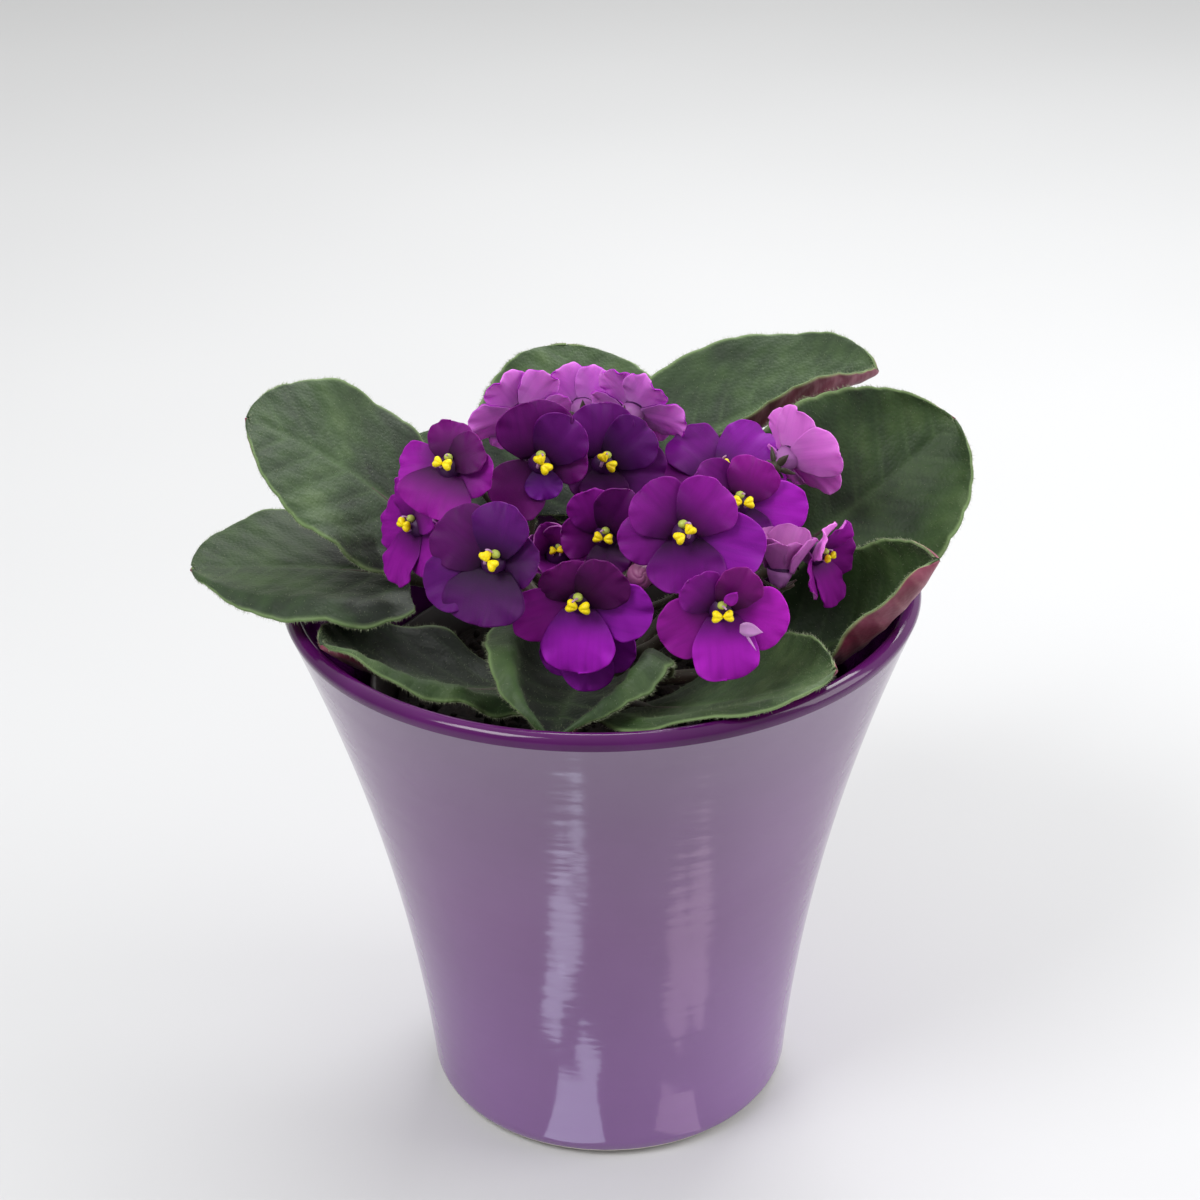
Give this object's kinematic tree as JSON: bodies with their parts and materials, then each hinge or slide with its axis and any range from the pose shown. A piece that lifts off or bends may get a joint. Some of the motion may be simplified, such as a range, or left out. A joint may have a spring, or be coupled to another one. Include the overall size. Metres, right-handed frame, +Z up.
{
  "type": "potted african violet",
  "caption": "Flowering house plant with a rosette of broad leaves and sprays of five-petalled blooms, in a nursery pot stood in a flared glazed cover pot.",
  "frame": {"origin": "centre of the cover pot's flat underside, on the surface it stands on", "axes": "+Z up, out of the pot's mouth; -Y is the front of the plant and +X its right"},
  "size_m": [0.192, 0.1773, 0.1964],
  "materials": {
    "pot_glaze": "glossy lilac glaze, deep violet at the lip and inside",
    "nursery_plastic": "matte, thin moulded plastic",
    "potting_soil": "loose dark peat",
    "stalks": "finely hairy green stalks",
    "leaves": "velvety dark green, wine red underneath",
    "petals": "soft sparkling purple petals",
    "anthers": "powdery yellow"
  },
  "bodies": {
    "root": {"cover_pot": "pot_glaze", "nursery_pot": "nursery_plastic", "soil": "potting_soil", "crown": "stalks", "leaf_left_high": "leaves", "leaf_left_low": "leaves", "leaf_back_left": "leaves", "leaf_back_right": "leaves", "leaf_right_high": "leaves", "leaf_right_low": "leaves", "leaf_front_right": "leaves", "leaf_front": "leaves", "leaf_front_left": "leaves", "leaf_back_low_left": "leaves", "leaf_back_low": "leaves", "leaf_back_low_right": "leaves", "spray_left": "stalks", "spray_front": "stalks", "spray_right": "stalks", "spray_back": "stalks", "bloom_left": "petals", "anthers_left": "anthers", "bloom_top_left": "petals", "anthers_top_left": "anthers", "bloom_top": "petals", "anthers_top": "anthers", "bloom_far_left": "petals", "anthers_far_left": "anthers", "bloom_low_left": "petals", "anthers_low_left": "anthers", "bloom_young": "petals", "anthers_young": "anthers", "bloom_middle": "petals", "anthers_middle": "anthers", "bloom_front_high": "petals", "anthers_front_high": "anthers", "bloom_front_low": "petals", "anthers_front_low": "anthers", "bloom_front_right": "petals", "anthers_front_right": "anthers", "bloom_right": "petals", "anthers_right": "anthers", "bloom_right_back": "petals", "anthers_right_back": "anthers", "bloom_right_side": "petals", "anthers_right_side": "anthers", "bloom_right_young": "petals", "anthers_right_young": "anthers", "bloom_back_left": "petals", "anthers_back_left": "anthers", "bloom_back": "petals", "anthers_back": "anthers", "bloom_back_right": "petals", "anthers_back_right": "anthers", "bloom_behind": "petals", "anthers_behind": "anthers", "bloom_under": "petals", "anthers_under": "anthers"}
  },
  "joints": []
}
